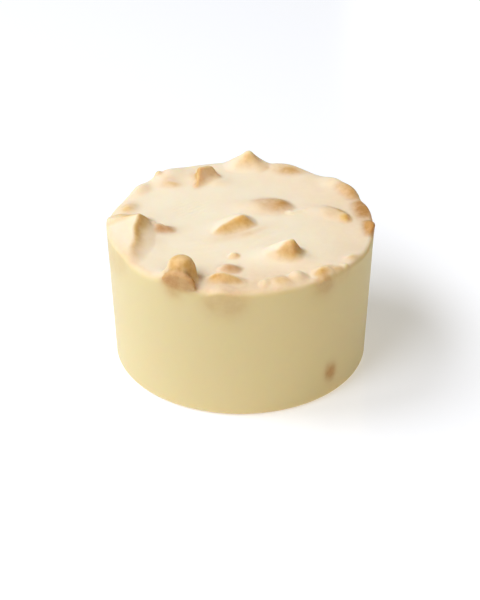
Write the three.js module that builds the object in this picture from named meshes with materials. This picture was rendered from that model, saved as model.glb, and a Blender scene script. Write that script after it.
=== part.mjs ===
// White chocolate nut cluster: a round block of white chocolate cast in a tapered cup mould, with coarsely
// chopped roasted nuts that stand out of its open face under a thin film of the chocolate.
// Millimetres, +Z up. The origin is the middle of the flat base, and -Y is the front.

import * as THREE from "three";

// The block
const rimRadius = 18.0;
const footRadius = 17.25;
const blockHeight = 19.4;
const footFillet = 0.9;
const frontRimFillet = 0.9;
const backRimFillet = 0.3;
const nutRimFillet = 0.1;

// The film over the nuts, and the rounding of the nuts' broken edges
const filmThickness = 0.15;
const nutEdgeRadius = 0.3;
const joinMargin = 1;

// Gentle waves of the poured face: height, waves across the rim, heading in degrees and phase
const faceWaves = [
  { height: 0.1, count: 1.3, heading: 25, phase: 0.4 },
  { height: 0.07, count: 2.1, heading: 110, phase: 1.9 },
  { height: 0.04, count: 3.4, heading: 70, phase: 4.2 },
];

// Places where the face sags towards the rim: azimuth and spread in degrees, and depth
const rimSags = [
  { azimuth: 157, spread: 10, depth: 0.3 },
  { azimuth: 141, spread: 8, depth: 0.35 },
  { azimuth: -20, spread: 14, depth: 0.2 },
];
const sagStart = 0.72 * rimRadius;

// The nuts. Each is a rounded piece with its middle, its half length, half width and half height, and the
// heading of its length in degrees. Heights count from the poured face. Its cuts are the flat sides that
// chopping left: azimuth, slope and a step out from the point named peak. Its fillet is where the film runs
// down to the face. Pieces against the mould are flush with its wall, but for those marked outside.
const nuts = [
  {
    name: "left wedge", middle: [-15.2, -3.4, -0.4], half: [6.2, 3.6, 3.8], turn: 96, fillet: 1.7,
    peak: [-13.75, -1, 2.35], cuts: [[202, 28, 0], [-12, 60, 0], [100, 50, 0]],
  },
  {
    name: "front knob", middle: [-7.6, -14, 0.5], half: [1.85, 1.6, 3], turn: 0, fillet: 0.8,
    peak: [-7.5, -13.9, 2.95], cuts: [[100, 8, 0]],
  },
  { name: "front knob foot", middle: [-7.95, -16.2, 0.75], half: [2.5, 1, 1], turn: -26, fillet: 0.15 },
  { name: "front crescent", middle: [-2.1, -14.6, -0.6], half: [2.2, 0.75, 1.45], turn: -8, fillet: 0.8 },
  { name: "front crescent foot", middle: [-1.9, -16.9, -1.5], half: [2.2, 1.7, 1.5], turn: -4, fillet: 0.5 },
  {
    name: "centre ridge", middle: [-0.6, -0.9, -0.8], half: [3.2, 1.9, 2.8], turn: 36, fillet: 1.1,
    peak: [-0.2, -0.6, 1.75], cuts: [[-76, 64, 0], [-30, 60, 0.35], [165, 33, 0], [60, 20, 0], [30, 55, 0.6]],
  },
  {
    name: "centre oval", middle: [4.3, 4.9, -1.2], half: [2.7, 1.7, 2], turn: -4, fillet: 1.2,
    peak: [4.9, 5.6, 0.7], cuts: [[50, 50, 0.25], [188, 11, 0]],
  },
  {
    name: "back tooth", middle: [-5, 12.3, -0.3], half: [2.1, 2.2, 3.4], turn: 20, fillet: 0.6,
    peak: [-5.95, 12.6, 2.15], cuts: [[182, 86, 0], [-51, 57, 0], [115, 52, 0], [15, 45, 1.6]],
  },
  {
    name: "back peak", middle: [1.1, 16.8, -0.6], half: [2.7, 1.9, 3.8], turn: 0, fillet: 1.5,
    peak: [1.1, 17.1, 2.45], cuts: [[186, 43, 0], [-6, 52, 0], [-92, 64, 0], [90, 70, 0.1]],
  },
  {
    name: "right cone", middle: [6.2, -8.5, -0.6], half: [3, 2.3, 4.2], turn: -5, fillet: 0.9,
    peak: [6.9, -8.4, 2.6], cuts: [[200, 42, 0], [-105, 60, 0], [-39, 68, 0], [0, 70, 0.2], [80, 60, 0]],
  },
  {
    name: "right inner piece", middle: [12.6, 2.8, -0.95], half: [1.85, 1.15, 1.6], turn: -43, fillet: 1,
    peak: [12.9, 3.2, 0.58], cuts: [[45, 55, 0.05], [180, 18, 0]],
  },
  { name: "left edge chip", middle: [-16.4, 1.5, -0.5], half: [1.6, 0.6, 0.8], turn: 20, fillet: 0.8 },
  { name: "back left tip", middle: [-11.6, 13.5, 0.1], half: [0.45, 0.35, 0.9], turn: 0, fillet: 0.3 },
  { name: "right back piece", middle: [14.9, 8.7, 0], half: [1.8, 0.8, 0.9], turn: -60, fillet: 0.6 },
  {
    name: "right rim shard", middle: [16.9, 3.5, -1.1], half: [2.8, 1.15, 1.6], turn: -74, fillet: 0.8,
    peak: [16.6, 5, 0.45], cuts: [[-72, 20, 0.1], [175, 48, 0.3]],
  },
  {
    name: "right rim tip", middle: [17.55, -0.8, -0.6], half: [1.8, 0.8, 1.2], turn: 95, fillet: 0.45,
    outside: true, peak: [18.2, 0.1, 0.25], cuts: [[20, 50, 0], [-20, 115, 0]],
  },
  { name: "right front grain", middle: [13.4, -11.1, -0.3], half: [0.4, 0.35, 0.5], turn: 50, fillet: 0.3 },
  { name: "right front chip", middle: [12.5, -11.9, -0.4], half: [0.6, 0.4, 0.65], turn: 50, fillet: 0.4 },
  { name: "right front crumb", middle: [11.7, -12.7, -0.4], half: [0.5, 0.45, 0.6], turn: 50, fillet: 0.4 },
  { name: "right front flake", middle: [10.7, -12.6, -0.45], half: [1.5, 0.7, 0.95], turn: 42, fillet: 0.7 },
  { name: "right front low chip", middle: [10.7, -14.1, -1], half: [0.9, 0.7, 0.8], turn: 40, fillet: 0.3 },
  { name: "front white bead", middle: [7.3, -14, -0.3], half: [1.15, 0.95, 1.1], turn: 30, fillet: 0.55 },
  { name: "front low bump", middle: [4.9, -15.1, -0.6], half: [1.3, 0.9, 0.95], turn: 0, fillet: 1 },
  { name: "front pale lump", middle: [3.1, -15.5, -0.3], half: [0.5, 0.7, 0.75], turn: 0, fillet: 0.5 },
  { name: "left pale crumb", middle: [-11.75, -0.35, -0.1], half: [0.45, 0.35, 0.42], turn: 0, fillet: 0.3 },
  { name: "left small crumb", middle: [-11, -0.75, -0.15], half: [0.45, 0.35, 0.45], turn: 0, fillet: 0.3 },
  { name: "left dark crumb", middle: [-10.4, -1.4, -0.35], half: [1, 0.5, 0.7], turn: -5, fillet: 0.8 },
  { name: "front brow", middle: [-1.4, -11.6, -0.3], half: [1, 0.55, 0.75], turn: -8, fillet: 0.8 },
  { name: "front crumb", middle: [-0.8, -8.2, -0.15], half: [0.5, 0.36, 0.45], turn: 10, fillet: 0.35 },
  { name: "right golden chip", middle: [14.1, 1.5, -0.1], half: [0.7, 0.45, 0.6], turn: -60, fillet: 0.6 },
  { name: "inner speck", middle: [6.8, 2.9, -0.1], half: [0.6, 0.35, 0.35], turn: -10, fillet: 0.3 },
  { name: "inner crumb", middle: [7.7, 3.2, -0.1], half: [0.6, 0.4, 0.4], turn: 30, fillet: 0.3 },
  { name: "inner grain", middle: [8.5, 3.6, -0.1], half: [0.45, 0.3, 0.35], turn: 30, fillet: 0.3 },
];

// Buried pieces, over which the poured face only swells: middle, half length and half width of the swell,
// heading of its length in degrees, and height
const swells = [
  { name: "left back", middle: [-15.4, 5], half: [1.6, 1], turn: 65, height: 0.55 },
  { name: "back left rim", middle: [-14, 10.4], half: [1.8, 1.1], turn: 55, height: 0.75 },
  { name: "back left, long", middle: [-8.6, 14.6], half: [4.2, 1.8], turn: 30, height: 0.35 },
  { name: "back left", middle: [-10.4, 13.8], half: [2.4, 1.6], turn: 38, height: 0.7 },
  { name: "back left spot", middle: [-9.6, 11.4], half: [1.3, 0.8], turn: 0, height: 0.28 },
  { name: "back tooth's side", middle: [-3.4, 12.2], half: [1.8, 1.4], turn: 0, height: 0.35 },
  { name: "back", middle: [6.6, 16], half: [2.7, 1.7], turn: -18, height: 0.6 },
  { name: "right back, broad", middle: [12.2, 9.4], half: [6, 4], turn: -52, height: 0.35 },
  { name: "right back lump", middle: [13.2, 11.7], half: [2, 1.4], turn: -44, height: 0.65 },
  { name: "right back edge", middle: [15, 9.2], half: [2.6, 1.5], turn: -58, height: 0.5 },
  { name: "centre oval's left", middle: [1.8, 5], half: [2.8, 1.6], turn: 8, height: 0.35 },
  { name: "right inner piece's left", middle: [10.4, 3.6], half: [2, 1.3], turn: -20, height: 0.25 },
  { name: "centre ridge's back", middle: [-1.6, 0.3], half: [2.6, 1.5], turn: 36, height: 0.45 },
  { name: "centre ridge's front", middle: [1.2, -1.6], half: [2.2, 1.3], turn: 30, height: 0.25 },
  { name: "right cone's left", middle: [4.3, -7.7], half: [2.3, 1.6], turn: 20, height: 0.5 },
  { name: "right cone's right", middle: [7.6, -9.4], half: [1.9, 1.5], turn: 0, height: 0.3 },
  { name: "right edge", middle: [14.5, -8.6], half: [1, 0.55], turn: 45, height: 0.3 },
  { name: "left wedge's side", middle: [-11.8, -4], half: [1.4, 2.6], turn: 0, height: 0.2 },
  { name: "front knob's left", middle: [-9.7, -13.8], half: [1.4, 1.6], turn: 0, height: 0.7 },
];

// Unevenness of the nuts: how far and how often their surface wanders
const nutWander = { reach: 0.11, rate: 1.4, phases: [0.3, 1.1, 2.6] };

// How finely the skin is divided: cells across the face, rings round the edge of the face, and rings down
// the wall and round the foot
const faceCells = 54;
const edgeRings = 9;
const wallRings = 6;
const footRings = 3;
const edgeBand = 2.5;

// The search for the skin along a ray: how far outside it starts, how far inside it may end, its pace, and
// when it stops
const searchStart = 4.5;
const searchEnd = -2.5;
const searchPace = 0.7;
const searchSteps = 80;
const closeEnough = 0.0005;

// Evening out the skin: rounds, the share of each move that is made, how strongly vertices gather at bends,
// and the step over which the skin's direction is measured
const eveningRounds = 10;
const eveningShare = 0.6;
const bendPull = 2.5;
const gradientStep = 0.02;

const radians = THREE.MathUtils.degToRad;
const { clamp, lerp, mapLinear, smoothstep, euclideanModulo } = THREE.MathUtils;
const draft = Math.atan2(rimRadius - footRadius, blockHeight);

function length2(a, b) {
  return Math.sqrt(a * a + b * b);
}

// Joins and cuts of signed distances. A rounded cut keeps what is inside both, with a rounded edge.
// A filleted join keeps what is inside either, with a hollow fillet in the corner between them.
function roundedCut(a, b, radius) {
  return Math.min(-radius, Math.max(a, b)) + length2(Math.max(radius + a, 0), Math.max(radius + b, 0));
}

function filletedJoin(a, b, radius) {
  return Math.max(radius, Math.min(a, b)) - length2(Math.max(radius - a, 0), Math.max(radius - b, 0));
}

// How far a swell lifts the face: its full height over its middle, and nothing beyond its edge
function swellHeight({ middle, half, turn, height }, x, y) {
  const [cos, sin] = [Math.cos(radians(turn)), Math.sin(radians(turn))];
  const along = ((x - middle[0]) * cos + (y - middle[1]) * sin) / half[0];
  const across = ((y - middle[1]) * cos - (x - middle[0]) * sin) / half[1];
  return height * Math.exp(-(along ** 2) - across ** 2);
}

// How far the poured face lies above the block's height
function faceLevel(x, y) {
  let level = 0;
  for (const { height, count, heading, phase } of faceWaves) {
    const along = x * Math.cos(radians(heading)) + y * Math.sin(radians(heading));
    level += height * Math.sin((Math.PI * count * along) / rimRadius + phase);
  }
  for (const swell of swells) {
    level += swellHeight(swell, x, y);
  }
  const nearRim = smoothstep(length2(x, y), sagStart, rimRadius);
  for (const { azimuth, spread, depth } of rimSags) {
    const turn = Math.atan2(y, x) - radians(azimuth);
    const apart = euclideanModulo(turn + Math.PI, 2 * Math.PI) - Math.PI;
    level -= depth * nearRim * Math.exp(-((apart / radians(spread)) ** 2));
  }
  return level;
}

function wallRadius(z) {
  return lerp(footRadius, rimRadius, z / blockHeight);
}

// A nut made ready: its middle in the block's heights, and each flat side as a unit normal and an offset
function prepareNut({ middle, half, turn, peak, cuts = [], fillet, outside = false }) {
  const sides = cuts.map(([azimuth, slope, step]) => {
    const nx = Math.sin(radians(slope)) * Math.cos(radians(azimuth));
    const ny = Math.sin(radians(slope)) * Math.sin(radians(azimuth));
    const nz = Math.cos(radians(slope));
    return { nx, ny, nz, offset: nx * peak[0] + ny * peak[1] + nz * (peak[2] + blockHeight) + step };
  });
  const [x, y] = middle;
  const z = middle[2] + blockHeight;
  const [cos, sin] = [Math.cos(radians(turn)), Math.sin(radians(turn))];
  const reach = Math.max(...half) + fillet + filmThickness + joinMargin;
  return { x, y, z, half, cos, sin, sides, fillet, outside, reach };
}

const readyNuts = nuts.map(prepareNut);
const flushNuts = readyNuts.filter((nut) => !nut.outside);
const outsideNuts = readyNuts.filter((nut) => nut.outside);

function nutDistance(nut, x, y, z) {
  const { reach, rate, phases } = nutWander;
  const px = x + reach * Math.sin(rate * y + phases[0]);
  const py = y + reach * Math.sin(rate * z + phases[1]);
  const pz = z + reach * Math.sin(rate * x + phases[2]);
  const along = ((px - nut.x) * nut.cos + (py - nut.y) * nut.sin) / nut.half[0];
  const across = ((py - nut.y) * nut.cos - (px - nut.x) * nut.sin) / nut.half[1];
  const rise = (pz - nut.z) / nut.half[2];
  const scaled = Math.hypot(along, across, rise);
  const steepness = Math.hypot(along / nut.half[0], across / nut.half[1], rise / nut.half[2]);
  let distance = (scaled * (scaled - 1)) / Math.max(steepness, 1e-9);
  for (const { nx, ny, nz, offset } of nut.sides) {
    distance = roundedCut(distance, nx * px + ny * py + nz * pz - offset, nutEdgeRadius);
  }
  return distance;
}

function joinNuts(distance, group, x, y, z) {
  for (const nut of group) {
    const apart = (x - nut.x) ** 2 + (y - nut.y) ** 2 + (z - nut.z) ** 2;
    if (apart < nut.reach ** 2) {
      distance = filletedJoin(distance, nutDistance(nut, x, y, z) - filmThickness, nut.fillet);
    }
  }
  return distance;
}

// The rounding of the poured rim, which widens from the back to the front
function rimFillet(y) {
  return mapLinear(clamp(y, -rimRadius, rimRadius), -rimRadius, rimRadius, frontRimFillet, backRimFillet);
}

// The cluster's skin: the poured block joined to the nuts, cut by the mould's wall and by the base
function clusterDistance(x, y, z) {
  const wall = (length2(x, y) - wallRadius(z)) * Math.cos(draft);
  let distance = roundedCut(z - blockHeight - faceLevel(x, y), wall, rimFillet(y));
  distance = joinNuts(distance, flushNuts, x, y, z);
  distance = roundedCut(distance, wall, nutRimFillet);
  distance = joinNuts(distance, outsideNuts, x, y, z);
  return roundedCut(distance, -z, footFillet);
}

// The outward direction of the skin, from distances at the corners of a small tetrahedron
function skinNormal({ x, y, z }) {
  const h = gradientStep;
  const a = clusterDistance(x + h, y - h, z - h);
  const b = clusterDistance(x - h, y - h, z + h);
  const c = clusterDistance(x - h, y + h, z - h);
  const d = clusterDistance(x + h, y + h, z + h);
  return new THREE.Vector3(a - b - c + d, -a - b + c + d, -a + b - c + d).normalize();
}

// Walks in along a ray from outside until it meets the skin
function skinPoint(origin, direction) {
  const point = new THREE.Vector3();
  let t = searchStart;
  for (let i = 0; i < searchSteps; i++) {
    point.copy(origin).addScaledVector(direction, t);
    const gap = clusterDistance(point.x, point.y, point.z);
    if (gap < closeEnough) break;
    t = Math.max(t - searchPace * gap, searchEnd);
  }
  return point;
}

// A point of a square from -1 to 1 moved to its place in a disc
function squareToDisc(u, v) {
  if (u === 0 && v === 0) return [0, 0];
  const wide = Math.abs(u) > Math.abs(v);
  const radius = wide ? u : v;
  const angle = wide ? (Math.PI / 4) * (v / u) : Math.PI / 2 - (Math.PI / 4) * (u / v);
  return [radius * Math.cos(angle), radius * Math.sin(angle)];
}

// The skin's vertices and four-sided cells, built from the face outwards and down to the base
class Skin {
  constructor() {
    this.points = [];
    this.cells = [];
    this.triangles = [];
    this.ring = [];
  }

  add(point) {
    return this.points.push(point) - 1;
  }

  // A new ring of as many points as the last one
  addRing(points) {
    const below = points.map((point) => this.add(point));
    this.ring.forEach((above, i) => {
      const next = (i + 1) % below.length;
      this.cells.push([above, below[i], below[next], this.ring[next]]);
    });
    this.ring = below;
  }

  // A new ring of half as many points, because the wall is plain
  addHalvedRing(points) {
    const below = points.map((point) => this.add(point));
    below.forEach((left, i) => {
      const right = below[(i + 1) % below.length];
      const [a, b, c] = [0, 1, 2].map((step) => this.ring[(2 * i + step) % this.ring.length]);
      this.triangles.push([a, left, b], [b, left, right], [b, right, c]);
    });
    this.ring = below;
  }
}

function addFace(skin, faceRadius) {
  const up = new THREE.Vector3(0, 0, 1);
  const rows = [];
  for (let j = 0; j <= faceCells; j++) {
    rows.push([]);
    for (let i = 0; i <= faceCells; i++) {
      const [x, y] = squareToDisc((2 * i) / faceCells - 1, (2 * j) / faceCells - 1);
      rows[j].push(skin.add(skinPoint(new THREE.Vector3(x * faceRadius, y * faceRadius, blockHeight), up)));
    }
  }
  for (let j = 0; j < faceCells; j++) {
    for (let i = 0; i < faceCells; i++) {
      skin.cells.push([rows[j][i], rows[j][i + 1], rows[j + 1][i + 1], rows[j + 1][i]]);
    }
  }
  const front = rows[0].slice(0, -1);
  const right = rows.slice(0, -1).map((row) => row[faceCells]);
  const back = rows[faceCells].slice(1).reverse();
  const left = rows.slice(1).reverse().map((row) => row[0]);
  skin.ring = [...front, ...right, ...back, ...left];
}

// Rings that turn from upright rays at the face to level rays at the wall
function addFaceEdge(skin, faceRadius, outwards) {
  for (let k = 1; k <= edgeRings; k++) {
    const tilt = (Math.PI / 2) * (1 - k / edgeRings);
    const start = edgeBand / Math.max(Math.cos(tilt), Math.sin(tilt));
    skin.addRing(outwards.map((outward) => {
      const direction = outward.clone().multiplyScalar(Math.cos(tilt)).setZ(Math.sin(tilt));
      const origin = outward.clone().multiplyScalar(faceRadius).setZ(blockHeight - edgeBand);
      return skinPoint(origin.addScaledVector(direction, start), direction);
    }));
  }
}

function wallPoint(outward, z) {
  return skinPoint(outward.clone().multiplyScalar(wallRadius(z)).setZ(z), outward);
}

function footPoint(outward, turn) {
  const radius = wallRadius(footFillet) - footFillet * (1 - Math.cos(turn));
  return outward.clone().multiplyScalar(radius).setZ(footFillet * (1 - Math.sin(turn)));
}

function addWallAndFoot(skin, outwards) {
  const every2nd = outwards.filter((_, i) => i % 2 === 0);
  for (let k = 1; k <= wallRings; k++) {
    const z = lerp(blockHeight - edgeBand, footFillet, k / wallRings);
    const points = every2nd.map((outward) => wallPoint(outward, z));
    if (k === 1) skin.addHalvedRing(points);
    else skin.addRing(points);
  }
  const lastFree = skin.points.length - every2nd.length;
  for (let k = 1; k <= footRings; k++) {
    skin.addRing(every2nd.map((outward) => footPoint(outward, (Math.PI / 2) * (k / footRings))));
  }
  const middle = skin.add(new THREE.Vector3(0, 0, 0));
  skin.ring.forEach((index, i) => {
    const next = skin.ring[(i + 1) % skin.ring.length];
    skin.triangles.push([index, middle, next]);
  });
  return lastFree;
}

// Slides the free vertices along the skin so that the cells are even, and smaller where the skin bends
function evenOut(skin, freeCount) {
  const neighbours = skin.points.map(() => new Set());
  for (const corners of [...skin.cells, ...skin.triangles]) {
    corners.forEach((index, i) => {
      const next = corners[(i + 1) % corners.length];
      neighbours[index].add(next);
      neighbours[next].add(index);
    });
  }
  for (let round = 0; round < eveningRounds; round++) {
    const normals = skin.points.map((point) => skinNormal(point));
    const weights = skin.points.map((_, index) => {
      const bends = [...neighbours[index]].map((other) => 1 - normals[index].dot(normals[other]));
      const bend = bends.reduce((sum, value) => sum + value, 0) / bends.length;
      return 1 + bendPull * Math.min(Math.sqrt(Math.max(bend, 0)), 1);
    });
    const moved = skin.points.map((point, index) => {
      if (index >= freeCount) return point;
      const target = new THREE.Vector3();
      let total = 0;
      for (const other of neighbours[index]) {
        target.addScaledVector(skin.points[other], weights[other]);
        total += weights[other];
      }
      const move = target.divideScalar(total).sub(point).projectOnPlane(normals[index]);
      const slid = point.clone().addScaledVector(move, eveningShare);
      return ontoSkin(slid);
    });
    skin.points = moved;
  }
}

function ontoSkin(point) {
  for (let i = 0; i < 2; i++) {
    point.addScaledVector(skinNormal(point), -clusterDistance(point.x, point.y, point.z));
  }
  return point;
}

// Splits a four-sided cell along whichever diagonal lies closer to the skin
function splitCell(points, [a, b, c, d]) {
  const gap = (i, j) => {
    const middle = points[i].clone().lerp(points[j], 0.5);
    return Math.abs(clusterDistance(middle.x, middle.y, middle.z));
  };
  return gap(a, c) <= gap(b, d) ? [[a, b, c], [a, c, d]] : [[a, b, d], [b, c, d]];
}

function makeGeometry() {
  const skin = new Skin();
  const faceRadius = rimRadius - edgeBand;
  addFace(skin, faceRadius);
  const outwards = skin.ring.map((index) => skin.points[index].clone().setZ(0).normalize());
  addFaceEdge(skin, faceRadius, outwards);
  evenOut(skin, addWallAndFoot(skin, outwards));
  const triangles = skin.cells.flatMap((cell) => splitCell(skin.points, cell)).concat(skin.triangles);
  const geometry = new THREE.BufferGeometry().setFromPoints(skin.points);
  geometry.setIndex(triangles.flat());
  geometry.computeVertexNormals();
  return geometry;
}

const whiteChocolate = new THREE.MeshStandardMaterial({ color: 0xefdfb9, roughness: 0.45, metalness: 0 });
const cluster = new THREE.Mesh(makeGeometry(), whiteChocolate);
cluster.name = "nut_cluster";

const part = new THREE.Group();
part.add(cluster);

export default part;
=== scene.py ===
import math

import bpy
import numpy as np
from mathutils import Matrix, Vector


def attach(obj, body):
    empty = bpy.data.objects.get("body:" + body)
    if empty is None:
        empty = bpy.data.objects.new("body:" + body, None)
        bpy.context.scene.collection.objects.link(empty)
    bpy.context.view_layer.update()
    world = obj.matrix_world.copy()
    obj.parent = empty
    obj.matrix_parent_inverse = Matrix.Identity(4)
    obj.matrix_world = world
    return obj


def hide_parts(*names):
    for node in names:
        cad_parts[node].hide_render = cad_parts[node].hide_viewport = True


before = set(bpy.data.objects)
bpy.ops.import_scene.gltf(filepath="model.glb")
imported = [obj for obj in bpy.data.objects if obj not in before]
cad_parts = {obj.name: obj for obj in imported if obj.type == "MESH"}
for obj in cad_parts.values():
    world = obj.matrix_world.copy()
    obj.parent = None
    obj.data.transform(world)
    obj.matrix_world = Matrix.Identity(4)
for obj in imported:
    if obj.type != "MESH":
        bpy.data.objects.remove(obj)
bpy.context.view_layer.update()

# The shape is worked out in millimetres from the foot's middle, as the solid is. Meshes are in metres.
METRES = 0.001

# The block
RIM_RADIUS, FOOT_RADIUS, BLOCK_HEIGHT = 18.0, 17.25, 19.4
FOOT_FILLET, FRONT_RIM_FILLET, BACK_RIM_FILLET, NUT_RIM_FILLET = 0.9, 0.9, 0.3, 0.1
DRAFT = math.atan2(RIM_RADIUS - FOOT_RADIUS, BLOCK_HEIGHT)

# The film over the nuts, and the rounding of the nuts' broken edges
FILM = 0.15
NUT_EDGE = 0.3

# How far beyond a nut's fillet the skin still feels it
JOIN_MARGIN = 1.0

# Waves of the poured face: height, waves across the rim, heading in degrees and phase
FACE_WAVES = [(0.1, 1.3, 25, 0.4), (0.07, 2.1, 110, 1.9), (0.04, 3.4, 70, 4.2)]

# Fine ripples of the film: middle, reach, heading in degrees, spacing and height
FILM_RIPPLES = [((-6.7, 4.5), 2.6, -51, 0.75, 0.02), ((4.0, -3.4), 3.4, -51, 1.5, 0.025),
                ((-5.0, -5.2), 2.4, -75, 1.3, 0.012)]

# Places where the face sags towards the rim: azimuth and spread in degrees, and depth
RIM_SAGS = [(157, 10, 0.3), (141, 8, 0.35), (-20, 14, 0.2)]
SAG_START = 0.72 * RIM_RADIUS

# Stretches where nut colour tints the poured face: azimuth and spread in degrees, the radius where the tint
# starts, and its strength at the rim
# The stretch at azimuth 20 is painted shade, darkening the right back of the face where less light falls
RIM_TINTS_AND_SHADE = [(-84, 32, 8.0, 0.42), (20, 55, 5.0, 0.22), (-140, 35, 16.4, 0.4)]

# Unevenness of the nuts: how far and how often their surface wanders
WANDER_REACH, WANDER_RATE, WANDER_PHASES = 0.11, 1.4, (0.3, 1.1, 2.6)


class Nut:
    """A rounded piece of nut, cut flat where chopping broke it, in millimetres and degrees.

    Heights count from the poured face. half holds the half lengths, turn is the heading of the first, and
    fillet rounds the joint with the chocolate. Each cut is an azimuth, a slope and a step out from the
    peak. An outside nut isn't cut flush with the wall. The film is thin on the side that faces the azimuth
    bare, at the slope bare_and_shaded_slope, which is mostly the side turned from the light, so its colour
    is partly painted shade. show is how strongly the nut's colour comes through there, flat_show elsewhere
    and wall_show through the moulded wall. gold runs from 0, red brown, to 1, golden. halo is how far the
    colour spreads into the chocolate, partly as a painted shadow beside the nut."""

    def __init__(self, middle, half, turn, fillet=0.4, peak=(0, 0, 0), cuts=(), outside=False,
                 bare_and_shaded=-40, bare_and_shaded_slope=90, show=0.8, flat_show=0.1, wall_show=0.2, gold=0.5, halo_and_shadow=0.45):
        self.middle = np.array(middle) + (0, 0, BLOCK_HEIGHT)
        self.half, self.turn, self.fillet, self.outside = half, turn, fillet, outside
        self.peak = np.array(peak) + (0, 0, BLOCK_HEIGHT)
        self.sides = [(unit_direction(azimuth, slope), step) for azimuth, slope, step in cuts]
        self.bare_and_shaded = unit_direction(bare_and_shaded, bare_and_shaded_slope)
        self.show, self.flat_show, self.wall_show = show, flat_show, wall_show
        self.gold, self.halo_and_shadow = gold, halo_and_shadow

    def near(self, p, spare=0.0):
        """Which points are close enough to feel the nut."""
        reach = max(self.half) + self.fillet + FILM + JOIN_MARGIN + spare
        return ((p - self.middle) ** 2).sum(1) < reach ** 2

    def distance(self, p):
        """Signed distance from the nut's own surface, below zero inside."""
        p = p + WANDER_REACH * np.sin(WANDER_RATE * p[:, (1, 2, 0)] + WANDER_PHASES)
        along, across = along_across(p[:, 0], p[:, 1], self.middle, self.turn)
        scaled = np.column_stack([along, across, p[:, 2] - self.middle[2]]) / self.half
        size = np.linalg.norm(scaled, axis=1)
        steepness = np.linalg.norm(scaled / self.half, axis=1)
        distance = size * (size - 1) / np.maximum(steepness, 1e-9)
        for normal, step in self.sides:
            distance = rounded_cut(distance, (p - self.peak) @ normal - step, NUT_EDGE)
        return distance


class Swell:
    """A piece buried so deep that the poured face only swells over it, with a tint that leans to one side:
    partly the nut's colour, partly painted shade on the side turned from the light.
    """

    def __init__(self, middle, half, turn, height, bare_and_shaded=-60, show=0.0, gold=0.8):
        self.middle, self.half, self.turn, self.height = middle, half, turn, height
        self.bare_and_shaded = unit_direction(bare_and_shaded, 90)
        self.show, self.gold = show, gold

    def share(self, x, y):
        """From 1 over the middle to 0 beyond the edge, without a foot line."""
        along, across = along_across(x, y, self.middle, self.turn)
        return np.exp(-(along / self.half[0]) ** 2 - (across / self.half[1]) ** 2)


def unit_direction(azimuth, slope):
    """A direction of length 1 that leans from upright by the slope, towards the azimuth."""
    a, s = math.radians(azimuth), math.radians(slope)
    return np.array((math.sin(s) * math.cos(a), math.sin(s) * math.sin(a), math.cos(s)))


def along_across(x, y, middle, heading):
    """How far points lie along and across a heading in degrees, counted from the middle."""
    cos, sin = math.cos(math.radians(heading)), math.sin(math.radians(heading))
    x, y = x - middle[0], y - middle[1]
    return x * cos + y * sin, y * cos - x * sin


def share_of_turn(x, y, azimuth, spread):
    """1 at the azimuth, fading to 0 beyond the spread on either side of it."""
    turn = np.arctan2(y, x) - math.radians(azimuth)
    apart = np.mod(turn + math.pi, 2 * math.pi) - math.pi
    return np.exp(-(apart / math.radians(spread)) ** 2)


def smoothstep(low, high, value):
    """From 0 at low to 1 at high, easing in and out."""
    t = np.clip((value - low) / (high - low), 0, 1)
    return t * t * (3 - 2 * t)


def rounded_cut(a, b, radius):
    """What is inside both signed distances, with a rounded edge."""
    edge = np.hypot(np.maximum(radius + a, 0), np.maximum(radius + b, 0))
    return np.minimum(-radius, np.maximum(a, b)) + edge


def filleted_join(a, b, radius):
    """What is inside either signed distance, with a hollow fillet between them."""
    corner = np.hypot(np.maximum(radius - a, 0), np.maximum(radius - b, 0))
    return np.maximum(radius, np.minimum(a, b)) - corner


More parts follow.
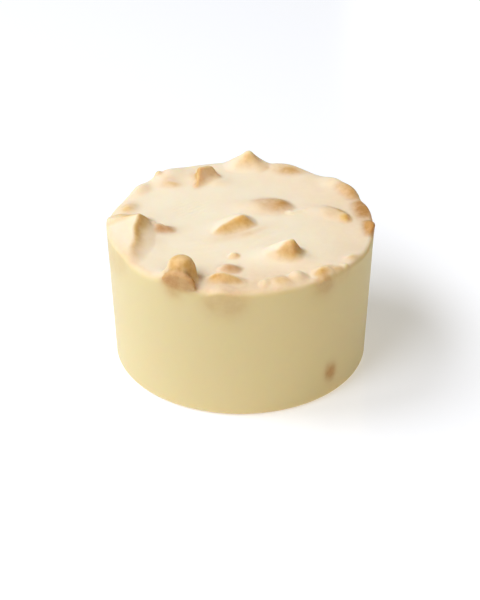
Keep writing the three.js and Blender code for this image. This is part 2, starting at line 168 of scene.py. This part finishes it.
# The large pieces that stand out of the face
LARGE_NUTS = [
    # Left wedge on the rim: gentle pale left side, steep caramel right side, the caramel partly painted
    # shade
    Nut(
        (-15.2, -3.4, -0.4), (6.2, 3.6, 3.8), 96, 1.7,
        peak=(-13.75, -1.0, 2.35), cuts=[(202, 28, 0), (-12, 60, 0), (100, 50, 0)],
        bare_and_shaded=-15, show=0.85, flat_show=0.12, gold=1.0, halo_and_shadow=0.5,
    ),
    # Front knob, and its foot that lies flush with the wall
    Nut(
        (-7.6, -14.0, 0.5), (1.85, 1.6, 3.0), 0, 0.8,
        peak=(-7.5, -13.9, 2.95), cuts=[(100, 8, 0)],
        bare_and_shaded=-60, bare_and_shaded_slope=45, show=0.88, flat_show=0.35, wall_show=0.9, gold=0.75, halo_and_shadow=0.5,
    ),
    Nut(
        (-7.95, -16.2, 0.75), (2.5, 1.0, 1.0), -26, 0.15,
        show=0.9, flat_show=0.85, wall_show=0.95, gold=0.05, halo_and_shadow=0.4,
    ),
    # Long crescent on the front rim, and the part of it against the wall
    Nut((-2.1, -14.6, -0.6), (2.2, 0.75, 1.45), -8, 0.8, bare_and_shaded=-90, show=1.05, flat_show=0.3, gold=0.75),
    Nut(
        (-1.9, -16.9, -1.5), (2.2, 1.7, 1.5), -4, 0.5,
        wall_show=0.3, show=0.55, flat_show=0.45, gold=0.3, halo_and_shadow=0.9,
    ),
    # Ridge in the middle
    Nut(
        (-0.6, -0.9, -0.8), (3.2, 1.9, 2.8), 36, 1.1,
        peak=(-0.2, -0.6, 1.75),
        cuts=[(-76, 64, 0), (-30, 60, 0.35), (165, 33, 0), (60, 20, 0), (30, 55, 0.6)],
        bare_and_shaded=-75, show=1.0, flat_show=0.0, gold=0.85, halo_and_shadow=0.9,
    ),
    # Low oval behind the middle, brown along its far edge, partly painted shade
    Nut(
        (4.3, 4.9, -1.2), (2.7, 1.7, 2.0), -4, 1.2,
        peak=(4.9, 5.6, 0.7), cuts=[(50, 50, 0.25), (188, 11, 0)],
        bare_and_shaded=-10, show=1.3, flat_show=1.1, gold=0.2, halo_and_shadow=0.6,
    ),
    # Back left tooth
    Nut(
        (-5.0, 12.3, -0.3), (2.1, 2.2, 3.4), 20, 0.6,
        peak=(-5.95, 12.6, 2.15), cuts=[(182, 86, 0), (-51, 57, 0), (115, 52, 0), (15, 45, 1.6)],
        bare_and_shaded=-150, show=1.0, flat_show=0.62, gold=0.5, halo_and_shadow=0.5,
    ),
    # Peak on the back rim
    Nut(
        (1.1, 16.8, -0.6), (2.7, 1.9, 3.8), 0, 1.5,
        peak=(1.1, 17.1, 2.45), cuts=[(186, 43, 0), (-6, 52, 0), (-92, 64, 0), (90, 70, 0.1)],
        bare_and_shaded=-60, show=0.75, flat_show=0.12, gold=0.9,
    ),
    # Cone at the right
    Nut(
        (6.2, -8.5, -0.6), (3.0, 2.3, 4.2), -5, 0.9,
        peak=(6.9, -8.4, 2.6), cuts=[(200, 42, 0), (-105, 60, 0), (-39, 68, 0), (0, 70, 0.2), (80, 60, 0)],
        bare_and_shaded=-65, show=0.9, flat_show=0.0, gold=0.7, halo_and_shadow=0.5,
    ),
    # Right inner piece, brown along its far edge, partly painted shade
    Nut(
        (12.6, 2.8, -0.95), (1.85, 1.15, 1.6), -43, 1.0,
        peak=(12.9, 3.2, 0.58), cuts=[(45, 55, 0.05), (180, 18, 0)],
        bare_and_shaded=10, show=1.1, flat_show=0.65, gold=0.4, halo_and_shadow=0.6,
    ),
]

# Pieces along the rim
RIM_NUTS = [
    Nut(
        (-16.4, 1.5, -0.5), (1.6, 0.6, 0.8), 20, 0.8,
        bare_and_shaded=-100, show=1.2, flat_show=0.7, wall_show=0.4, gold=1.0,
    ),
    Nut((-11.6, 13.5, 0.1), (0.45, 0.35, 0.9), 0, 0.3, show=0.6, flat_show=0.6, gold=0.0, halo_and_shadow=0.2),
    Nut((14.9, 8.7, 0.0), (1.8, 0.8, 0.9), -60, 0.6, bare_and_shaded=-50, show=1.0, flat_show=0.9, gold=0.3, halo_and_shadow=0.7),
    Nut(
        (16.9, 3.5, -1.1), (2.8, 1.15, 1.6), -74, 0.8,
        peak=(16.6, 5.0, 0.45), cuts=[(-72, 20, 0.1), (175, 48, 0.3)],
        bare_and_shaded=-50, show=1.4, flat_show=1.3, gold=0.0, halo_and_shadow=0.8,
    ),
    Nut(
        (17.55, -0.8, -0.6), (1.8, 0.8, 1.2), 95, 0.45,
        peak=(18.2, 0.1, 0.25), cuts=[(20, 50, 0), (-20, 115, 0)], outside=True,
        bare_and_shaded=-20, show=1.4, flat_show=1.2, wall_show=1.3, gold=0.15,
    ),
    Nut((13.4, -11.1, -0.3), (0.4, 0.35, 0.5), 50, 0.3, show=0.0, flat_show=0.0),
    Nut((12.5, -11.9, -0.4), (0.6, 0.4, 0.65), 50, 0.4, show=0.8, flat_show=0.5, gold=0.6),
    Nut((11.7, -12.7, -0.4), (0.5, 0.45, 0.6), 50, 0.4, show=0.1, flat_show=0.05),
    Nut((10.7, -12.6, -0.45), (1.5, 0.7, 0.95), 42, 0.7, bare_and_shaded=-80, show=1.0, flat_show=0.45, gold=1.0),
    Nut(
        (10.7, -14.1, -1.0), (0.9, 0.7, 0.8), 40, 0.3,
        show=0.85, flat_show=0.55, wall_show=0.45, gold=0.3, halo_and_shadow=0.8,
    ),
    Nut((7.3, -14.0, -0.3), (1.15, 0.95, 1.1), 30, 0.55, show=0.0, flat_show=0.0, wall_show=0.0),
    Nut((4.9, -15.1, -0.6), (1.3, 0.9, 0.95), 0, 1.0, bare_and_shaded=-60, show=0.9, flat_show=0.65, gold=0.8),
    Nut((3.1, -15.5, -0.3), (0.5, 0.7, 0.75), 0, 0.5, show=0.0, flat_show=0.0),
]

# Small crumbs on the face
CRUMBS = [
    Nut((-11.75, -0.35, -0.1), (0.45, 0.35, 0.42), 0, 0.3, show=0.0, flat_show=0.0),
    Nut((-11.0, -0.75, -0.15), (0.45, 0.35, 0.45), 0, 0.3, show=0.0, flat_show=0.0),
    Nut(
        (-10.4, -1.4, -0.35), (1.0, 0.5, 0.7), -5, 0.8,
        bare_and_shaded=-90, show=1.15, flat_show=0.8, gold=0.0, halo_and_shadow=0.6,
    ),
    Nut(
        (-1.4, -11.6, -0.3), (1.0, 0.55, 0.75), -8, 0.8,
        bare_and_shaded=-70, show=0.9, flat_show=0.5, gold=0.0, halo_and_shadow=0.7,
    ),
    Nut((-0.8, -8.2, -0.15), (0.5, 0.36, 0.45), 10, 0.35, bare_and_shaded=-70, show=0.6, flat_show=0.1, gold=0.7),
    Nut((14.1, 1.5, -0.1), (0.7, 0.45, 0.6), -60, 0.6, bare_and_shaded=-90, show=1.0, flat_show=0.9, gold=0.9),
    Nut((6.8, 2.9, -0.1), (0.6, 0.35, 0.35), -10, 0.3, show=0.1, flat_show=0.0, gold=1.0),
    Nut((7.7, 3.2, -0.1), (0.6, 0.4, 0.4), 30, 0.3, show=0.15, flat_show=0.0, gold=1.0),
    Nut((8.5, 3.6, -0.1), (0.45, 0.3, 0.35), 30, 0.3, show=0.0, flat_show=0.0),
]

# Buried pieces; some of their tints are painted shade, beside standing nuts and on sides turned from the
# light
SWELLS = [
    Swell((-15.4, 5.0), (1.6, 1.0), 65, 0.55, bare_and_shaded=-100, show=1.3, gold=0.9),
    Swell((-14.0, 10.4), (1.8, 1.1), 55, 0.75, show=0.15),
    Swell((-8.6, 14.6), (4.2, 1.8), 30, 0.35),
    Swell((-10.4, 13.8), (2.4, 1.6), 38, 0.7),
    Swell((-9.6, 11.4), (1.3, 0.8), 0, 0.28, bare_and_shaded=-90, show=0.8, gold=0.6),
    Swell((-3.4, 12.2), (1.8, 1.4), 0, 0.35, bare_and_shaded=-50, show=0.25, gold=0.3),
    Swell((6.6, 16.0), (2.7, 1.7), -18, 0.6, bare_and_shaded=-75, show=1.35, gold=0.4),
    Swell((12.2, 9.4), (6.0, 4.0), -52, 0.35),
    Swell((13.2, 11.7), (2.0, 1.4), -44, 0.65, bare_and_shaded=-110, show=0.45, gold=1.0),
    Swell((15.0, 9.2), (2.6, 1.5), -58, 0.5, bare_and_shaded=-60, show=1.2, gold=0.3),
    Swell((1.8, 5.0), (2.8, 1.6), 8, 0.35, show=0.4, gold=0.4),
    Swell((10.4, 3.6), (2.0, 1.3), -20, 0.25, show=0.15, gold=0.3),
    Swell((-1.6, 0.3), (2.6, 1.5), 36, 0.45),
    Swell((1.2, -1.6), (2.2, 1.3), 30, 0.25, show=0.25, gold=0.4),
    Swell((4.3, -7.7), (2.3, 1.6), 20, 0.5),
    Swell((7.6, -9.4), (1.9, 1.5), 0, 0.3, bare_and_shaded=-60, show=0.25, gold=0.5),
    Swell((14.5, -8.6), (1.0, 0.55), 45, 0.3, bare_and_shaded=-70, show=0.8, gold=0.9),
    Swell((-11.8, -4.0), (1.4, 2.6), 0, 0.2, bare_and_shaded=0, show=0.2, gold=0.5),
    Swell((-9.7, -13.8), (1.4, 1.6), 0, 0.7),
]

# Places where a nut shows faintly through the level face; the first is a painted shadow in front of the
# middle ridge
FACE_TINTS_AND_SHADOW = [
    Swell((-0.9, -3.3), (2.4, 0.9), 20, 0, show=0.9, gold=0.4),
    Swell((-16.2, -1.0), (2.2, 0.6), 8, 0, bare_and_shaded=100, show=1.5, gold=1.0),
]

# A speck that only touches the mould's wall, low at the front right
WALL_SPECK = Nut((11.85, -12.45, -15.3), (0.7, 0.6, 0.8), 0, wall_show=0.9, gold=0.4, halo_and_shadow=0.4)

STANDING_NUTS = LARGE_NUTS + RIM_NUTS + CRUMBS


def face_level(x, y):
    """How far the poured face lies above the block's height."""
    level = np.zeros_like(x)
    for height, count, heading, phase in FACE_WAVES:
        along, _ = along_across(x, y, (0, 0), heading)
        level += height * np.sin(math.pi * count * along / RIM_RADIUS + phase)
    for middle, reach, heading, spacing, height in FILM_RIPPLES:
        along, across = along_across(x, y, middle, heading)
        fade = np.exp(-(along ** 2 + across ** 2) / reach ** 2)
        level += height * np.sin(2 * math.pi * along / spacing) * fade
    for swell in SWELLS:
        level += swell.height * swell.share(x, y)
    near_rim = smoothstep(SAG_START, RIM_RADIUS, np.hypot(x, y))
    for azimuth, spread, depth in RIM_SAGS:
        level -= depth * near_rim * share_of_turn(x, y, azimuth, spread)
    return level


def wall_radius(z):
    return FOOT_RADIUS + (RIM_RADIUS - FOOT_RADIUS) * z / BLOCK_HEIGHT


def join_nuts(distance, nuts, p):
    for nut in nuts:
        near = nut.near(p)
        distance[near] = filleted_join(distance[near], nut.distance(p[near]) - FILM, nut.fillet)
    return distance


def cluster_distance(p):
    """The cluster's skin: the poured block joined to the nuts, cut by the mould's wall and by the base."""
    wall = (np.hypot(p[:, 0], p[:, 1]) - wall_radius(p[:, 2])) * math.cos(DRAFT)
    forward = 0.5 - 0.5 * np.clip(p[:, 1] / RIM_RADIUS, -1, 1)
    rim_fillet = BACK_RIM_FILLET + (FRONT_RIM_FILLET - BACK_RIM_FILLET) * forward
    distance = rounded_cut(p[:, 2] - BLOCK_HEIGHT - face_level(p[:, 0], p[:, 1]), wall, rim_fillet)
    distance = join_nuts(distance, [nut for nut in STANDING_NUTS if not nut.outside], p)
    distance = rounded_cut(distance, wall, NUT_RIM_FILLET)
    distance = join_nuts(distance, [nut for nut in STANDING_NUTS if nut.outside], p)
    return rounded_cut(distance, -p[:, 2], FOOT_FILLET)


def skin_normals(p, step=0.02):
    """Outward directions, from distances at the corners of a small tetrahedron."""
    total = np.zeros_like(p)
    for corner in np.array([(1, -1, -1), (-1, -1, 1), (-1, 1, -1), (1, 1, 1)], float):
        total += corner * cluster_distance(p + corner * step)[:, None]
    return total / np.linalg.norm(total, axis=1)[:, None]


def skin_points(origins, directions):
    """Walk in along each ray from outside until it meets the skin."""
    start, end, pace, steps = 4.5, -2.5, 0.7, 60
    t = np.full(len(origins), start)
    for _ in range(steps):
        gap = cluster_distance(origins + directions * t[:, None])
        t = np.maximum(t - pace * gap, end)
    return origins + directions * t[:, None]


def square_to_disc(u, v):
    """Points of a square from -1 to 1 moved to their places in a disc."""
    wide = np.abs(u) > np.abs(v)
    radius, other = np.where(wide, u, v), np.where(wide, v, u)
    share = np.divide(other, radius, out=np.zeros_like(u), where=radius != 0)
    angle = np.where(wide, share, 2 - share) * math.pi / 4
    return radius * np.cos(angle), radius * np.sin(angle)


# How finely the skin is divided, and the width of the band where rays turn from upright to level
FACE_CELLS, EDGE_RINGS, WALL_RINGS, FOOT_RINGS = 200, 20, 26, 6
EDGE_BAND = 2.5


class Skin:
    """The skin's vertices and four-sided cells, from the face outwards and down to the base."""

    def __init__(self):
        face_radius = RIM_RADIUS - EDGE_BAND
        line = np.linspace(-1, 1, FACE_CELLS + 1)
        x, y = square_to_disc(*(grid.ravel() for grid in np.meshgrid(line, line)))
        origins = np.column_stack([x * face_radius, y * face_radius, np.full(x.size, BLOCK_HEIGHT)])
        self.points = skin_points(origins, np.tile((0.0, 0.0, 1.0), (x.size, 1)))
        index = np.arange(x.size).reshape(FACE_CELLS + 1, FACE_CELLS + 1)
        corners = [index[:-1, :-1], index[:-1, 1:], index[1:, 1:], index[1:, :-1]]
        self.cells = np.stack(corners, axis=-1).reshape(-1, 4)
        self.ring = np.concatenate([index[0, :-1], index[:-1, -1], index[-1, :0:-1], index[:0:-1, 0]])
        azimuth = np.arctan2(origins[self.ring, 1], origins[self.ring, 0])
        self.outward = np.column_stack([np.cos(azimuth), np.sin(azimuth), np.zeros_like(azimuth)])
        self.add_face_edge(face_radius)
        self.add_wall()
        self.free = len(self.points) - len(self.ring)
        self.add_foot()

    def add_ring(self, points):
        new = np.arange(len(points)) + len(self.points)
        cells = np.column_stack([self.ring, new, np.roll(new, -1), np.roll(self.ring, -1)])
        self.points = np.concatenate([self.points, points])
        self.cells = np.concatenate([self.cells, cells])
        self.ring = new

    def add_face_edge(self, face_radius):
        for k in range(1, EDGE_RINGS + 1):
            tilt = math.pi / 2 * (1 - k / EDGE_RINGS)
            direction = self.outward * math.cos(tilt) + (0, 0, math.sin(tilt))
            origin = self.outward * face_radius + (0, 0, BLOCK_HEIGHT - EDGE_BAND)
            start = EDGE_BAND / max(math.cos(tilt), math.sin(tilt))
            self.add_ring(skin_points(origin + direction * start, direction))

    def add_wall(self):
        for z in np.linspace(BLOCK_HEIGHT - EDGE_BAND, FOOT_FILLET, WALL_RINGS + 1)[1:]:
            self.add_ring(skin_points(self.outward * wall_radius(z) + (0, 0, z), self.outward))

    def add_foot(self):
        for turn in np.linspace(0, math.pi / 2, FOOT_RINGS + 1)[1:]:
            radius = wall_radius(FOOT_FILLET) - FOOT_FILLET * (1 - math.cos(turn))
            self.add_ring(self.outward * radius + (0, 0, FOOT_FILLET * (1 - math.sin(turn))))

    def neighbours(self):
        """Both ends of every cell side, each pair in both orders."""
        ends = np.concatenate([self.cells[:, (i, (i + 1) % 4)] for i in range(4)])
        return np.concatenate([ends, ends[:, ::-1]]).T

    def soften(self, values, rounds=3):
        """Average each vertex's value with its neighbours', so that colours change softly."""
        a, b = self.neighbours()
        count = np.bincount(a, minlength=len(values))
        for _ in range(rounds):
            values = (values + np.bincount(a, values[b], len(values)) / count) / 2
        return values

    def even_out(self, rounds=8, share=0.6, bend_pull=2.0):
        """Slide the free vertices along the skin, so that cells are even, and smaller at bends."""
        a, b = self.neighbours()
        count = len(self.points)
        for _ in range(rounds):
            normals = skin_normals(self.points)
            apart = 1 - (normals[a] * normals[b]).sum(1)
            bend = np.bincount(a, apart, count) / np.bincount(a, minlength=count)
            weight = 1 + bend_pull * np.sqrt(np.clip(bend, 0, 1))
            total = np.bincount(a, weight[b], count)
            target = [np.bincount(a, weight[b] * self.points[b, axis], count) / total for axis in range(3)]
            move = np.column_stack(target) - self.points
            move -= normals * (move * normals).sum(1)[:, None]
            move[self.free:] = 0
            self.points = self.onto_skin(self.points + share * move)

    def onto_skin(self, points):
        moved = points.copy()
        for _ in range(2):
            free = moved[:self.free]
            moved[:self.free] -= skin_normals(free) * cluster_distance(free)[:, None]
        return moved


# The skin counts as cast by the mould where its gap from the wall, in millimetres, and the upright part of
# its outward direction have fallen from the first value to the second
# The upright limits reach onto the rim's rounding, which so takes the wall's darker colour: painted shade
# over the light it catches
CAST_GAP = (0.45, 0.25)
CAST_UPRIGHT = (0.95, 0.6)

# How much the skin leans towards the side where a piece's colour shows most, as cosines, where the tint
# starts and is full
# That side is mostly the one turned from the light, so the tint there is partly painted shade
NUT_LEAN, SWELL_LEAN = (-0.05, 0.35), (0.02, 0.3)

# The share of a swell's tint that stays on its other sides
OTHER_SIDES_SHARE = 0.35

# How sharply colour fades with a nut's depth, counted in halos, and away from a swell's middle; beside a
# nut this fade is partly a painted shadow
HALO_AND_SHADOW_POWER, SWELL_POWER = 1.3, 0.7

# Beyond this many halos neither a nut's colour nor its painted shadow shows
HALO_AND_SHADOW_LIMIT = 4

# How much less golden a nut looks through the cast wall
WALL_GOLD_LOSS = 0.8


def nut_colours_and_shade(points, normals):
    """For each vertex: how strongly nut colour shows, partly as painted shade on sides turned from the
    light and beside the nuts, how golden that nut is, and where the mould's wall shaped the skin.
    """
    show, gold = np.zeros(len(points)), np.full(len(points), 0.5)
    radius = np.hypot(points[:, 0], points[:, 1])
    wall_gap = np.abs(radius - wall_radius(points[:, 2]))
    on_wall = smoothstep(*CAST_GAP, wall_gap) * smoothstep(*CAST_UPRIGHT, normals[:, 2])
    for azimuth, spread, start, strength in RIM_TINTS_AND_SHADE:
        near_rim = smoothstep(start, RIM_RADIUS, radius) * (1 - on_wall)
        show += strength * near_rim * share_of_turn(points[:, 0], points[:, 1], azimuth, spread)
    for nut in STANDING_NUTS + [WALL_SPECK]:
        near = nut.near(points, HALO_AND_SHADOW_LIMIT * nut.halo_and_shadow)
        cover = np.maximum(nut.distance(points[near]) - FILM, 0)
        lean = normals[near] @ nut.bare_and_shaded
        strength = nut.flat_show + (nut.show - nut.flat_show) * smoothstep(*NUT_LEAN, lean)
        strength += (nut.wall_show - strength) * on_wall[near]
        here = strength * np.exp(-(cover / nut.halo_and_shadow) ** HALO_AND_SHADOW_POWER)
        total = show[near] + here
        golden = nut.gold * (1 - WALL_GOLD_LOSS * on_wall[near])
        gold[near] += (golden - gold[near]) * np.where(total > 0, here / np.maximum(total, 1e-6), 0)
        show[near] = np.maximum(show[near], here)
    for swell in SWELLS + FACE_TINTS_AND_SHADOW:
        lean = smoothstep(*SWELL_LEAN, normals @ swell.bare_and_shaded)
        strength = swell.show * (OTHER_SIDES_SHARE + (1 - OTHER_SIDES_SHARE) * lean)
        here = strength * swell.share(points[:, 0], points[:, 1]) ** SWELL_POWER * (1 - on_wall)
        gold += (swell.gold - gold) * here / np.maximum(show + here, 1e-6)
        show = np.maximum(show, here)
    return show, gold, on_wall


def linear(red, green, blue):
    """A colour from 0 to 255 as the eye reads it, made linear."""
    steps = [value / 255 for value in (red, green, blue)]
    return tuple(v / 12.92 if v <= 0.04045 else ((v + 0.055) / 1.055) ** 2.4 for v in steps) + (1.0,)


def join(tree, socket, value):
    if isinstance(value, bpy.types.NodeSocket):
        tree.links.new(value, socket)
    else:
        socket.default_value = value


def attribute(tree, name):
    node = tree.nodes.new("ShaderNodeAttribute")
    node.attribute_name = name
    return node.outputs["Fac"]


def mix_colour(tree, factor, a, b):
    node = tree.nodes.new("ShaderNodeMix")
    node.data_type = "RGBA"
    for socket, value in zip((node.inputs[0], node.inputs[6], node.inputs[7]), (factor, a, b)):
        join(tree, socket, value)
    return node.outputs[2]


def noise(tree, scale, detail, roughness=0.5):
    coordinates = tree.nodes.new("ShaderNodeTexCoord")
    node = tree.nodes.new("ShaderNodeTexNoise")
    tree.links.new(coordinates.outputs["Object"], node.inputs["Vector"])
    node.inputs["Scale"].default_value = scale
    node.inputs["Detail"].default_value = detail
    node.inputs["Roughness"].default_value = roughness
    return node.outputs["Fac"]


def remap(tree, value, low, high, to_low, to_high):
    node = tree.nodes.new("ShaderNodeMapRange")
    names = ("Value", "From Min", "From Max", "To Min", "To Max")
    for name, entry in zip(names, (value, low, high, to_low, to_high)):
        join(tree, node.inputs[name], entry)
    return node.outputs["Result"]


def calculate(tree, operation, a, b):
    node = tree.nodes.new("ShaderNodeMath")
    node.operation = operation
    join(tree, node.inputs[0], a)
    join(tree, node.inputs[1], b)
    return node.outputs["Value"]


def chocolate_colour(tree, on_wall):
    """Pale where it was poured, yellower where the mould shaped it and darker there as painted shade, with
    faint clouds.
    """
    poured = linear(250, 231, 200)
    # The moulded colour is yellower, and darker as painted shade for the upright wall and the rim's
    # rounding
    cast_and_shaded = linear(225, 207, 153)
    chocolate = mix_colour(tree, on_wall, poured, cast_and_shaded)
    clouds = remap(tree, noise(tree, scale=260, detail=3), 0.35, 0.65, to_low=0, to_high=0.12)
    return mix_colour(tree, clouds, chocolate, linear(232, 204, 160))


def nut_colour(tree):
    """From red brown to golden, with a darker grain."""
    nut = mix_colour(tree, attribute(tree, "nut_gold"), linear(190, 138, 80), linear(232, 188, 98))
    fine = noise(tree, scale=1400, detail=4, roughness=0.65)
    grain = remap(tree, fine, 0.4, 0.75, to_low=0, to_high=0.25)
    return mix_colour(tree, grain, nut, linear(152, 100, 54))


def add_waxy_bump(tree, shader):
    """The fine unevenness of set chocolate, in metres."""
    bump = tree.nodes.new("ShaderNodeBump")
    bump.inputs["Distance"].default_value = 0.00006
    bump.inputs["Strength"].default_value = 0.5
    tree.links.new(noise(tree, scale=500, detail=4), bump.inputs["Height"])
    tree.links.new(bump.outputs["Normal"], shader.inputs["Normal"])


def cluster_material():
    """Waxy white chocolate that light enters, with nuts showing through by the skin's own values, which
    also hold painted shade on the nuts' sides turned from the light and beside them.
    """
    material = bpy.data.materials.new("white_chocolate_with_nuts")
    material.use_nodes = True
    tree = material.node_tree
    shader = tree.nodes["Principled BSDF"]
    on_wall = attribute(tree, "on_wall")
    chocolate, nut = chocolate_colour(tree, on_wall), nut_colour(tree)
    patches = remap(tree, noise(tree, scale=700, detail=3), 0.3, 0.7, to_low=0.75, to_high=1.1)
    show = calculate(tree, "MULTIPLY", attribute(tree, "nut_tint_and_shade"), patches)
    join(tree, shader.inputs["Base Color"], mix_colour(tree, show, chocolate, nut))
    join(tree, shader.inputs["Roughness"], remap(tree, on_wall, 0, 1, to_low=0.6, to_high=0.5))
    shader.inputs["Specular IOR Level"].default_value = 0.3
    shader.inputs["IOR"].default_value = 1.46
    shader.inputs["Subsurface Weight"].default_value = 0.8
    shader.inputs["Subsurface Radius"].default_value = (1.0, 0.7, 0.35)
    shader.inputs["Subsurface Scale"].default_value = 0.0012
    add_waxy_bump(tree, shader)
    return material


def build_cluster():
    skin = Skin()
    skin.even_out()
    mesh = bpy.data.meshes.new("cluster_skin")
    base = skin.ring[::-1].tolist()
    mesh.from_pydata((skin.points * METRES).tolist(), [], skin.cells.tolist() + [base])
    mesh.polygons.foreach_set("use_smooth", [True] * (len(mesh.polygons) - 1) + [False])
    normals = skin_normals(skin.points)
    # The nut tint holds the nuts' colour together with painted shade and painted shadows beside the nuts
    for name, values in zip(("nut_tint_and_shade", "nut_gold", "on_wall"), nut_colours_and_shade(skin.points, normals)):
        values = skin.soften(values)
        mesh.attributes.new(name, "FLOAT", "POINT").data.foreach_set("value", values.astype(np.float32))
    mesh.materials.append(cluster_material())
    cluster = bpy.data.objects.new("cluster_skin", mesh)
    bpy.context.scene.collection.objects.link(cluster)
    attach(cluster, "root")
    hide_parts("nut_cluster")


def build_floor():
    """A glossy white table top, lit from below as a light table is."""
    half = 1.5
    corners = [(-half, -half, 0), (half, -half, 0), (half, half, 0), (-half, half, 0)]
    mesh = bpy.data.meshes.new("floor")
    mesh.from_pydata(corners, [], [(0, 1, 2, 3)])
    material = bpy.data.materials.new("white_table")
    material.use_nodes = True
    shader = material.node_tree.nodes["Principled BSDF"]
    shader.inputs["Base Color"].default_value = (0.76, 0.76, 0.76, 1)
    shader.inputs["Roughness"].default_value = 0.12
    shader.inputs["Emission Color"].default_value = (1, 1, 1, 1)
    shader.inputs["Emission Strength"].default_value = 0.34
    mesh.materials.append(material)
    floor = bpy.data.objects.new("floor", mesh)
    bpy.context.scene.collection.objects.link(floor)


# The lights: name, azimuth and elevation in degrees, power in watts, colour, width and distance in metres.
# A near key from the left, broad fills from both front sides, and a weak light for the back.
LIGHTS = [
    ("key_left", 175, 51, 2.05, (0.86, 0.9, 1.0), 0.3, 0.55),
    ("fill_front_left", -135, 46, 13.5, (0.82, 0.87, 1.0), 0.8, 1.5),
    ("fill_front_right", -45, 40, 4.2, (1.0, 0.82, 0.45), 0.8, 1.5),
    ("back", 70, 20, 1.2, (1.0, 1.0, 1.0), 0.8, 1.5),
]
WORLD_STRENGTH = 0.1


def add_softbox(name, azimuth, elevation, power, colour, width, distance):
    """A round soft light aimed at the middle of the object."""
    away = Vector(unit_direction(azimuth, 90 - elevation))
    light = bpy.data.lights.new(name, "AREA")
    light.shape = "DISK"
    light.size, light.energy, light.color = width, power, colour
    lamp = bpy.data.objects.new(name, light)
    lamp.location = Vector((0, 0, BLOCK_HEIGHT / 2 * METRES)) + away * distance
    lamp.rotation_euler = (-away).to_track_quat("-Z", "Y").to_euler()
    bpy.context.scene.collection.objects.link(lamp)


def build_light():
    for light in LIGHTS:
        add_softbox(*light)
    world = bpy.data.worlds.new("studio")
    world.use_nodes = True
    background = world.node_tree.nodes["Background"]
    background.inputs["Color"].default_value = (1.0, 1.0, 1.0, 1)
    background.inputs["Strength"].default_value = WORLD_STRENGTH
    bpy.context.scene.world = world


def build_camera():
    """A long lens that looks down along +Y, as in the photograph."""
    elevation, distance, aim = math.radians(31.592), 0.252, Vector((0, 0, 0.00747))
    camera = bpy.data.cameras.new("camera")
    camera.lens = 109.52
    camera.shift_x = -0.0009
    look = Vector((0, math.cos(elevation), -math.sin(elevation)))
    holder = bpy.data.objects.new("camera", camera)
    holder.location = aim - look * distance
    holder.rotation_euler = look.to_track_quat("-Z", "Y").to_euler()
    bpy.context.scene.collection.objects.link(holder)
    bpy.context.scene.camera = holder


bpy.context.scene.view_settings.view_transform = "Standard"
build_camera()
build_cluster()
build_floor()
build_light()
